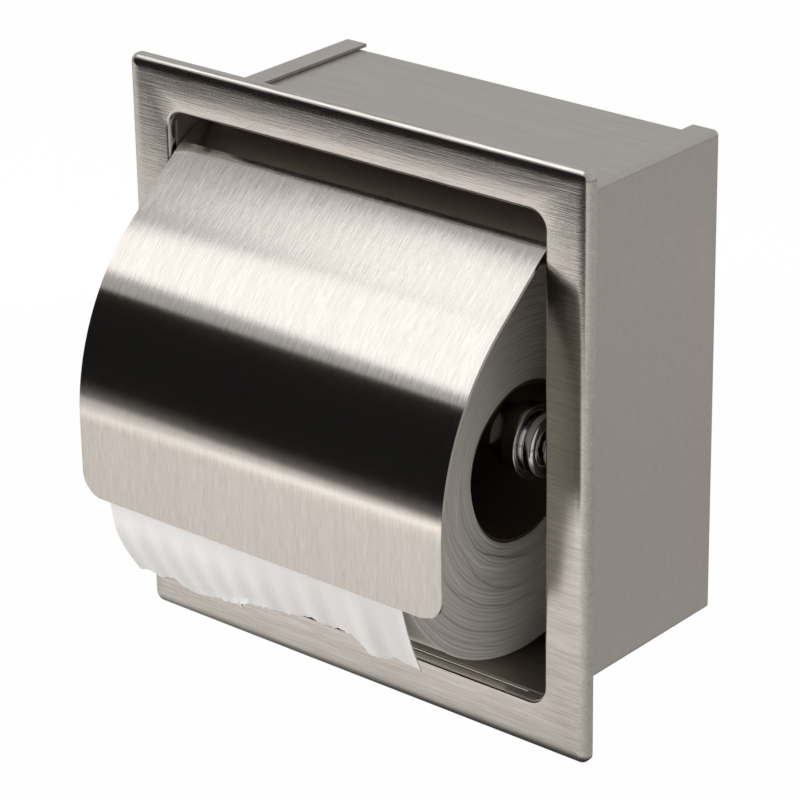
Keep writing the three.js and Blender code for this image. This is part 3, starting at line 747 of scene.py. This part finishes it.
class HOLDER_OT_hinge(bpy.types.Operator):
    """Build the hinge rod with its bushes and clips"""
    bl_idname = "holder.hinge"
    bl_label = "Hinge"

    def execute(self, context):
        end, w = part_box("hinge_rod")[1].x, BOX_HIGH.x
        clip, t = w + 0.3 * MM, 0.8 * MM
        r, low = 2 * MM, 1.65 * MM
        half = [(clip - 0.1 * MM, r, 0), (clip - 0.1 * MM, low, 0),
                (clip + t + 0.1 * MM, low, 0), (clip + t + 0.1 * MM, r, 0),
                (end, r, 0.4 * MM), (end, 0, 0)]
        rod = turned("hinge_rod_turned", mirrored(half, -1)[::-1] + half, ROD, 64)
        place(rod, "housing", "polished_steel", "hinge_rod", sharp=SHARP)
        for word, side in (("left", -1), ("right", 1)):
            low_x, high_x = (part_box(f"hinge_bush_{word}")[k].x for k in (0, 1))
            c = 0.3 * MM
            bush = turned(f"bush_{word}", [(low_x, 2.1 * MM, 0.15 * MM), (low_x, 3.6 * MM, c),
                                           (high_x, 3.6 * MM, c), (high_x, 2.1 * MM, 0.15 * MM)],
                          ROD, 64, closed=True)
            place(bush, "housing", "nylon", f"hinge_bush_{word}", sharp=SHARP)
            x0, x1 = side * clip, side * (clip + t)
            c = 0.12 * MM
            ring = turned(f"clip_{word}", [(x0, 1.75 * MM, c), (x0, 4 * MM, c), (x1, 4 * MM, c),
                                           (x1, 1.75 * MM, c)], ROD, 60, closed=True,
                          gap=math.radians(70))
            place(ring, "housing", "spring_steel", f"rod_clip_{word}", sharp=SHARP)
        return {"FINISHED"}


class HOLDER_OT_posts(bpy.types.Operator):
    """Build the posts that carry the roller and the screws that hold them"""
    bl_idname = "holder.posts"
    bl_label = "Posts"

    def execute(self, context):
        s = context.scene.holder_roller
        low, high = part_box("right_post")
        face, wall, r = low.x, high.x, s.post / 2
        socket = s.pin / 2 + 0.1 * MM
        seat = BOX_HIGH.x + 0.1 * MM
        for word, side in (("left", -1), ("right", 1)):
            post = turned(f"{word}_post_turned", mirrored([
                (wall - 3.5 * MM, 0, 0), (wall - 3.5 * MM, 1.6 * MM, 0), (wall, 1.6 * MM, 0),
                (wall, r, 0.3 * MM), (face, r, 3 * MM), (face, socket, 0.3 * MM),
                (face + 4.6 * MM, socket, 0), (face + 4.6 * MM, 0, 0)], side), ROLLER, 96)
            place(post, "housing", "polished_steel", f"{word}_post", sharp=SHARP)
            screw = turned(f"{word}_screw", mirrored([
                (wall - 3.2 * MM, 0, 0), (wall - 3.2 * MM, 1.5 * MM, 0.3 * MM),
                (seat, 1.5 * MM, 0), (seat, 2.6 * MM, 0.1 * MM),
                (seat + 1.5 * MM, 2.6 * MM, 0.7 * MM), (seat + 1.5 * MM, 0, 0)], side), ROLLER, 48)
            key = drill(4 * MM / math.sqrt(3), *((side * x, ROLLER.y, ROLLER.z) for x in (
                seat + 0.4 * MM, seat + 3 * MM)), 6, AXIS_Y)
            bored(screw, key)
            place(screw, "housing", "spring_steel", f"{word}_post_screw", sharp=SHARP)
        return {"FINISHED"}


class HOLDER_OT_roller(bpy.types.Operator):
    """Build the sprung roller: barrel, knobs, bush, retainer and spring"""
    bl_idname = "holder.roller"
    bl_label = "Roller"

    def end(self, s):
        """The profile that both ends share, from the pin's tip in to the taper's foot."""
        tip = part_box("roller_plunger")[1].x
        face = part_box("right_post")[0].x
        out = face - 0.7 * MM
        into = out - 4.6 * MM
        knob = into - 0.7 * MM
        back = knob - 4.5 * MM
        groove = s.bead / 2 - 1.4 * MM
        return [(tip, 0, 0), (tip, s.pin / 2, 0.5 * MM), (out, s.pin / 2, 0.25 * MM),
                (out, s.bead / 2, 1.8 * MM), (into, s.bead / 2, 1.3 * MM), (into, groove, 0),
                (knob, groove, 0), (knob, s.knob / 2, 0.45 * MM), (back, s.knob / 2, 0.5 * MM),
                (back - 5.6 * MM, s.shaft / 2, 0.8 * MM)]

    def execute(self, context):
        s = context.scene.holder_roller
        low, high = (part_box("roller_barrel")[k].x for k in (0, 1))
        r, bore = s.barrel / 2, s.barrel / 2 - s.barrel_wall
        barrel = turned("barrel_tube", [(low, bore, 0.25 * MM), (low, r, 0.3 * MM),
                                        (high, r, 0.3 * MM), (high, bore, 0.25 * MM)],
                        ROLLER, 128, closed=True)
        place(barrel, "roller", "polished_steel", "roller_barrel", sharp=SHARP)

        plug, out = bore - 0.15 * MM, -low
        shape = self.end(s) + [(out + 1 * MM, s.shaft / 2, 0.4 * MM), (out + 0.6 * MM, r, 0.3 * MM),
                               (out + 0.1 * MM, r, 0), (out + 0.1 * MM, plug, 0),
                               (out - 8 * MM, plug, 0.4 * MM), (out - 8 * MM, 0, 0)]
        knob = turned("left_knob_turned", mirrored(shape, -1), ROLLER, 128)
        place(knob, "roller", "polished_steel", "roller_left_knob", sharp=SHARP)

        b0, b1 = (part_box("roller_bush")[k].x for k in (0, 1))
        hole = s.shaft / 2 + 0.1 * MM
        bush = turned("bush_moulded", [(b0, hole, 0.2 * MM), (b0, plug, 0.3 * MM),
                                       (high + 0.1 * MM, plug, 0), (high + 0.1 * MM, r, 0.1 * MM),
                                       (b1, r, 0.4 * MM), (b1, hole, 0.2 * MM)],
                      ROLLER, 128, closed=True)
        place(bush, "roller", "nylon", "roller_bush", sharp=SHARP)

        c0, c1 = (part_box("plunger_retainer")[k].x for k in (0, 1))
        neck, tail = s.shaft / 2 - 1.2 * MM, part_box("roller_plunger")[0].x
        plunger = turned("plunger_turned", self.end(s) + [
            (c1 + 0.1 * MM, s.shaft / 2, 0), (c1 + 0.1 * MM, neck, 0), (c0 - 0.1 * MM, neck, 0),
            (c0 - 0.1 * MM, s.shaft / 2, 0), (tail, s.shaft / 2, 0.4 * MM), (tail, 0, 0)],
            ROLLER, 128)
        place(plunger, "plunger", "polished_steel", "roller_plunger", sharp=SHARP)
        c = 0.15 * MM
        ring = turned("retaining_ring", [(c0, neck + 0.1 * MM, c), (c0, bore - 0.6 * MM, c),
                                         (c1, bore - 0.6 * MM, c), (c1, neck + 0.1 * MM, c)],
                      ROLLER, 90, closed=True, gap=math.radians(24))
        place(ring, "plunger", "spring_steel", "plunger_retainer", sharp=SHARP)
        self.spring(s)
        return {"FINISHED"}

    def spring(self, s):
        """A helix: angle 2 pi n t, radius constant, and x smoothed so that the first and the last
        three quarters of a turn lie flat."""
        low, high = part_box("roller_spring")
        x0, x1 = low.x + s.wire / 2, high.x - s.wire / 2
        radius = (high.z - low.z - s.wire) / 2
        t = np.linspace(0, 1, s.turns * 40 + 1)
        flat = 0.75 / s.turns
        rise = np.clip((t - flat) / (1 - 2 * flat), 0, 1)
        pitch = s.wire * 1.05 * flat * s.turns
        x = x0 + (x1 - x0 - 2 * pitch) * rise
        x = x + pitch * (np.clip(t / flat, 0, 1) + np.clip((t - 1 + flat) / flat, 0, 1))
        a = 2 * np.pi * s.turns * t
        path = np.stack([x, ROLLER.y + radius * np.cos(a), ROLLER.z + radius * np.sin(a)], 1)
        b = np.arange(14) * 2 * np.pi / 14
        wire = np.stack([np.cos(b), np.sin(b)], 1) * s.wire / 2
        piece = swept("spring_wire", path, wire)
        place(piece, "roller", "spring_steel", "roller_spring", sharp=SHARP)
        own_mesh(piece)


class HOLDER_OT_paper_roll(bpy.types.Operator):
    """Build the wound roll and its cardboard core"""
    bl_idname = "holder.paper_roll"
    bl_label = "Paper roll"

    def execute(self, context):
        s = context.scene.holder_paper
        x0, x1 = PAPER_LOW.x, PAPER_HIGH.x
        self.core(s, *(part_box("paper_core")[k].x for k in (0, 1)))
        outside = PAPER_HIGH.z - PAPER.z
        inside = s.core_bore / 2 + s.core_wall + 0.1 * MM
        t = np.arange(288) * 2 * np.pi / 288
        rim = outside - 0.5 * MM
        rows, turn = 140, np.linspace(0, np.pi / 2, 6)[1:]
        radii = np.concatenate([np.linspace(inside, rim, rows),
                                rim + (outside - rim) * np.sin(turn)])
        lift = np.concatenate([np.zeros(rows), 0.5 * MM * (1 - np.cos(turn))])
        right = self.end_face(radii, t, s, s.seed)
        left = self.end_face(radii, t, s, s.seed + 1)
        along = np.linspace(x0 + 0.9 * MM, x1 - 0.9 * MM, 12)
        bump = 0.12 * MM * waves(along[:, None] * 60 + 0 * t, t[None] + 0 * along[:, None], 24,
                                 1.0, 7, s.seed + 2)
        swell = 0.1 * MM * waves(0 * radii[:, None] + 0 * t, t[None] + 0 * radii[:, None], 12,
                                 0.1, 5, s.seed + 3) * smoothstep(radii, rim - 4 * MM, rim)[:, None]
        r = radii[:, None] - np.abs(swell)
        ring = np.stack([0 * t, np.cos(t), np.sin(t)], 1)[None]
        across = ring * [0, 1, 1]

        def shell(x, radius):
            out = across * radius[..., None]
            out[..., 0] = x
            return out

        points = np.concatenate([
            shell(x0 + lift[:, None] + left, r), shell(along[:, None] + 0 * t,
                                                       outside - np.abs(bump) - 0.02 * MM),
            shell((x1 - lift[:, None] - right)[::-1], r[::-1])])
        points += [0, PAPER.y, PAPER.z]
        roll = surface("paper_roll_wound", points, wrap_u=True, wrap_v=True)
        place(roll, "roll", "tissue", "paper_roll", finished="roll_ends", sharp=60)
        return {"FINISHED"}

    def end_face(self, radii, t, s, seed):
        """How far each point of an end stands back: steps where a group of windings has slipped,
        each fading in and out round the roll, plus fine ridges of single windings. A step is
        height times smoothstep(radius, r - w, r + w), with r wandering with the angle."""
        rng = np.random.default_rng(seed)
        r, a = radii[:, None] + 0 * t, t[None] + 0 * radii[:, None]
        back = np.zeros_like(r)
        places = np.array([26.6, 30.4, 33.1, 37.0, 40.2, 43.6, 46.8, 50.1, 52.6]) * MM
        heights = np.array([0.9, -0.45, 0.5, -0.35, 0.42, -0.3, 0.34, -0.28, 0.25]) * s.step
        for where, height in zip(places, heights):
            wander = 1.0 * MM * waves(0 * a, a, 8, 0.1, 4, int(rng.integers(1 << 30)))
            ripple = 0.2 * MM * waves(0 * a, a, 12, 0.1, 21, int(rng.integers(1 << 30)))
            window = 0.35 + 0.65 * smoothstep(
                np.cos(a - rng.uniform(-2.6, -1.0)), -0.7, 0.6)
            edge = r - where - wander - ripple
            back -= height * window * smoothstep(edge, -0.2 * MM, 0.2 * MM)
        fine = 0.05 * MM * waves(r / MM * 1.0, a, 60, 7.0, 5, seed + 5)
        fine += 0.03 * MM * waves(r / MM * 1.0, a, 60, 13.0, 12, seed + 6)
        slow = 0.25 * MM * waves(r / MM * 0.1, a, 16, 1.5, 3, seed + 7)
        back = back + fine + slow
        back -= back[radii > radii.max() - 1.2 * MM].min()
        edge = smoothstep(r, radii.max() - 1.1 * MM, radii.max() - 0.6 * MM)
        back = back * (1 - edge) + 0.05 * MM * edge
        return np.clip(back, 0.02 * MM, 2.2 * MM)

    def core(self, s, x0, x1):
        """A tube whose wall steps by a fifth of a millimetre along a spiral, where the strips of
        card overlap; its ends are cut a little unevenly."""
        bore, out = s.core_bore / 2, s.core_bore / 2 + s.core_wall
        t = np.arange(160) * 2 * np.pi / 160
        x = np.linspace(x0 + s.recess, x1 - s.recess, 90)
        spiral = (x[:, None] / (70 * MM) + t[None] / (2 * np.pi)) % 1.0
        step = 0.12 * MM * smoothstep(spiral, 0.0, 0.02) * (1 - smoothstep(spiral, 0.4, 0.98))
        uneven = 0.1 * MM * np.abs(waves(0 * t, t, 14, 0.1, 9, s.seed + 20))
        ends = np.linspace(1, -1, 90)[:, None] * uneven[None] * (np.abs(
            np.linspace(1, -1, 90)[:, None]) > 0.98)

        def tube(radius):
            return np.stack([x[:, None] + ends, PAPER.y + radius * np.cos(t),
                             PAPER.z + radius * np.sin(t)], -1)

        inner = tube(bore + step + 0 * x[:, None])
        outer = tube(out + 0 * step)
        core = surface("core_tube", np.concatenate([inner, outer[::-1]]), wrap_u=True,
                       wrap_v=True)
        place(core, "roll", "cardboard", "paper_core", finished="card", sharp=50)


class HOLDER_OT_paper_tail(bpy.types.Operator):
    """Build the torn loose end of the paper"""
    bl_idname = "holder.paper_tail"
    bl_label = "Paper tail"

    def execute(self, context):
        """Rows run round the roll at a constant radius and then down. Below the roll the sheet's
        depth y is a cubic of its height z, one for each side edge, mixed across the width; the
        torn edge gives each column its own length."""
        s = context.scene.holder_paper
        outside = PAPER_HIGH.z - PAPER.z
        radius = outside + 0.42 * MM
        x = np.linspace(PAPER_LOW.x, PAPER_HIGH.x, 420)
        share_x = (x - x[0]) / (x[-1] - x[0])
        a = np.radians(np.linspace(118, 192, 40))
        arc = np.stack([PAPER.y + radius * np.cos(a), PAPER.z + radius * np.sin(a)], 1)
        torn_x = np.array([-57, -49, -42, -38, -36, -29, -22, -14, -6, 3, 12, 17, 24, 26, 28, 32,
                           38, 42, 48]) * MM
        torn_z = np.array([-54.8, -55.3, -54.3, -57.2, -57.9, -56, -54.3, -52.2, -50.6, -50.7,
                           -47.8, -49.6, -49.6, -52, -54.6, -54.2, -54, -54.9, -53.9]) * MM
        rng = np.random.default_rng(s.seed + 9)
        bottom = np.interp(x, torn_x, torn_z)
        for rate, size in ((160, 0.5), (420, 0.45), (1100, 0.3), (2600, 0.18)):
            knots = rng.uniform(-1, 1, int(rate * 0.13) + 3)
            bottom = bottom + size * MM * np.interp((x - x[0]) * rate, np.arange(len(knots)),
                                                    knots)
        for at, drop, width in ((-15.2, 2.0, 0.7), (-6.1, 1.5, 0.5), (-47.5, 0.8, 0.5)):
            bottom = bottom - drop * MM * np.exp(-((x / MM - at) / width) ** 2)
        z_top = arc[-1, 1]
        u = np.linspace(0, 1, 60)[1:, None]
        z = z_top + (bottom - z_top) * u
        heights = np.array([z_top / MM, -30, -36.8, -43.9, -53.7, -60])
        left = np.array([arc[-1, 0] / MM, -42.45, -42.1, -39.3, -33.6, -29.5])
        right = np.array([arc[-1, 0] / MM, -39.9, -37.9, -35.5, -31.3, -28.2])
        curve_l, curve_r = (np.polyfit(heights, side, 4) for side in (left, right))
        y_left, y_right = (np.polyval(c, z / MM) * MM for c in (curve_l, curve_r))
        lean = share_x ** 1.6
        y = y_left * (1 - lean) + y_right * lean
        hang = 1 - smoothstep(z, z_top - 28 * MM, z_top - 4 * MM)
        folds = 0.8 * MM * np.sin(x / MM * 0.33 + 0.6) * smoothstep(share_x, 0.45, 1.0)
        folds = folds + 0.5 * MM * np.sin(x / MM * 0.11) + 0.25 * MM * np.sin(x / MM * 0.71 + 1)
        y = y + folds * hang
        curl = smoothstep(u, 0.93, 1.0) * np.exp(-((x + 14 * MM) / (7 * MM)) ** 2)
        y = y - 1.0 * MM * curl
        hanging = np.stack([x + 0 * z, y, z], -1)
        wrapped = np.stack([x[None] + 0 * arc[:, :1], arc[:, :1] + 0 * x, arc[:, 1:] + 0 * x], -1)
        points = np.concatenate([wrapped, hanging])
        run = np.concatenate([[0 * x], np.cumsum(np.linalg.norm(np.diff(points, axis=0), axis=2),
                                                 axis=0)])
        piece = surface("tissue_tail", points, towards=(0, -1, 0),
                        uv=np.stack([points[..., 0], run], -1))
        wall = piece.modifiers.new("ply", "SOLIDIFY")
        wall.thickness, wall.offset = s.tail, 0
        applied(piece)
        place(piece, "housing", "tissue", "paper_tail", sharp=70)
        return {"FINISHED"}


class HOLDER_OT_stage(bpy.types.Operator):
    """Set up the camera, the floor, the lamps and the card round the holder"""
    bl_idname = "holder.stage"
    bl_label = "Stage"

    def execute(self, context):
        scene, s = context.scene, context.scene.holder_stage
        self.camera(scene, s)
        scene.view_settings.view_transform = "Standard"
        world = bpy.data.worlds.new("Studio")
        scene.world = world
        net = Net(world)
        seen, glossy = (net.add("LightPath", output=f"Is {kind} Ray") for kind in (
            "Camera", "Glossy"))
        strength = seen * 1.0 + (1 - seen) * (glossy * 0.53 + (1 - glossy) * 0.22)
        shade = net.add("Background", None, {"Color": WHITE, "Strength": strength})
        net.add("OutputWorld", None, {"Surface": shade})
        self.floor(s)
        self.lamp("Front softbox", (-1.098, -1.219, 1.612), (1.57, 1.1), 5.7)
        key = self.lamp("Top softbox", (-0.35, -0.45, 1.45), (0.5, 0.5), 34)
        fill = self.lamp("Fill", (-0.45, -0.95, 0.0), (0.5, 0.3), 5.0)
        key.visible_glossy = fill.visible_glossy = False
        self.card("Dark card", (0.12, -1.0), -0.365, -0.117, (0.214, 0.3), 0.013)
        return {"FINISHED"}

    def camera(self, scene, s):
        """The camera looks along minus back, where back = (sin a cos e, -cos a cos e, sin e) for
        azimuth a and elevation e, with its right and up turned by the roll."""
        a, e, r = s.azimuth, s.elevation, s.roll
        back = np.array([math.sin(a) * math.cos(e), -math.cos(a) * math.cos(e), math.sin(e)])
        right = np.array([math.cos(a), math.sin(a), 0])
        up = np.cross(back, right)
        right2 = right * math.cos(r) + up * math.sin(r)
        up2 = up * math.cos(r) - right * math.sin(r)
        camera = bpy.data.objects.new("Camera", bpy.data.cameras.new("Camera"))
        scene.collection.objects.link(camera)
        m = np.eye(4)
        m[:3, 0], m[:3, 1], m[:3, 2] = right2, up2, back
        m[:3, 3] = CAMERA_AT
        camera.matrix_world = Matrix(m.tolist())
        camera.data.sensor_width, camera.data.lens = 36, s.lens
        camera.data.clip_start, camera.data.clip_end = 0.01, 30
        scene.camera = camera

    def floor(self, s):
        """A flat pale floor that camera rays see as near white, with the shadow kept. Its colour
        carries painted shade: darker under the holder and lighter far from it."""
        z = FRAME_LOW.z - s.floor_drop
        ends = -FLOOR_REACH, FLOOR_REACH
        points = np.array([[[x, y, z] for y in ends] for x in ends], float)
        floor = surface("Floor", points, towards=AXIS_Z)
        material, net, at = started("Pale floor")
        seen = net.add("LightPath", output="Is Camera Ray")
        far = net.add("VectorMath", {"operation": "LENGTH"}, (net.stretched(at, (1, 1, 0)),),
                      output=1)
        # painted shade: the floor's colour is darkest under the holder and lightest far from it
        light = far.ramp(0.12, 0.5) * 0.42 + far.ramp(0.8, 1.0) * 0.3 + 0.05
        tone = net.mix(light, (0, 0, 0, 1), (1, 0.97, 0.935, 1))
        plain = net.add("BsdfDiffuse", None, {"Color": tone})
        net.show(net.add("MixShader", None, {0: seen * 0.94, 1: plain, 2: net.glow(1.025)}))
        floor.data.materials.append(material)

    def aim(self, thing, at):
        back = np.array(at, float)
        back /= np.linalg.norm(back)
        right = np.cross(AXIS_Z, back)
        right /= np.linalg.norm(right)
        m = np.eye(4)
        m[:3, 0], m[:3, 1], m[:3, 2], m[:3, 3] = right, np.cross(back, right), back, at
        thing.matrix_world = Matrix(m.tolist())

    def lamp(self, name, at, size, power):
        data = bpy.data.lights.new(name, "AREA")
        data.shape, data.size, data.size_y = "RECTANGLE", *size
        data.energy = power
        lamp = bpy.data.objects.new(name, data)
        bpy.context.scene.collection.objects.link(lamp)
        self.aim(lamp, at)
        return lamp

    def card(self, name, ends, y, low, tops, shade):
        """An upright card along X, which only mirrors see. It is lighter along its foot."""
        points = np.array([[[x, y, low], [x, y, top]] for x, top in zip(ends, tops)], float)
        card = surface(name, points, towards=AXIS_Y)
        material, net, at = started(name)
        height = net.add("VectorMath", {"operation": "DOT_PRODUCT"}, (at, AXIS_Z), output=1)
        glow = shade + (1 - height.ramp(low - 0.01, low + 0.06)) * 0.17
        net.show(net.glow(glow))
        card.data.materials.append(material)
        card.visible_camera = card.visible_diffuse = card.visible_shadow = False


class HOLDER_PT_panel(bpy.types.Panel):
    """The holder's pieces and their sizes"""
    bl_label = "Paper holder"
    bl_idname = "HOLDER_PT_panel"
    bl_space_type = "VIEW_3D"
    bl_region_type = "UI"
    bl_category = "Paper holder"

    def draw(self, context):
        for step in STEPS:
            self.layout.operator(step.bl_idname)
        for group in GROUPS:
            box = self.layout.box()
            settings = getattr(context.scene, group)
            for name in settings.__annotations__:
                box.prop(settings, name)


STEPS = (HOLDER_OT_stage, HOLDER_OT_front_frame, HOLDER_OT_wall_box, HOLDER_OT_hood,
         HOLDER_OT_hinge, HOLDER_OT_posts, HOLDER_OT_roller, HOLDER_OT_paper_roll,
         HOLDER_OT_paper_tail)
GROUPS = {"holder_frame": HolderFrameSizes, "holder_box": HolderBoxSizes,
          "holder_hood": HolderHoodSizes, "holder_roller": HolderRollerSizes,
          "holder_paper": HolderPaperSizes, "holder_finishes": HolderFinishes,
          "holder_stage": HolderStage}


def register():
    for cls in (*GROUPS.values(), *STEPS, HOLDER_PT_panel):
        bpy.utils.register_class(cls)
    for name, cls in GROUPS.items():
        setattr(bpy.types.Scene, name, PointerProperty(type=cls))


def unregister():
    for name in GROUPS:
        delattr(bpy.types.Scene, name)
    for cls in (HOLDER_PT_panel, *reversed(STEPS), *reversed(GROUPS.values())):
        bpy.utils.unregister_class(cls)


def main():
    register()
    for step in STEPS:
        getattr(bpy.ops.holder, step.bl_idname.split(".")[1])()


if __name__ == "__main__":
    main()
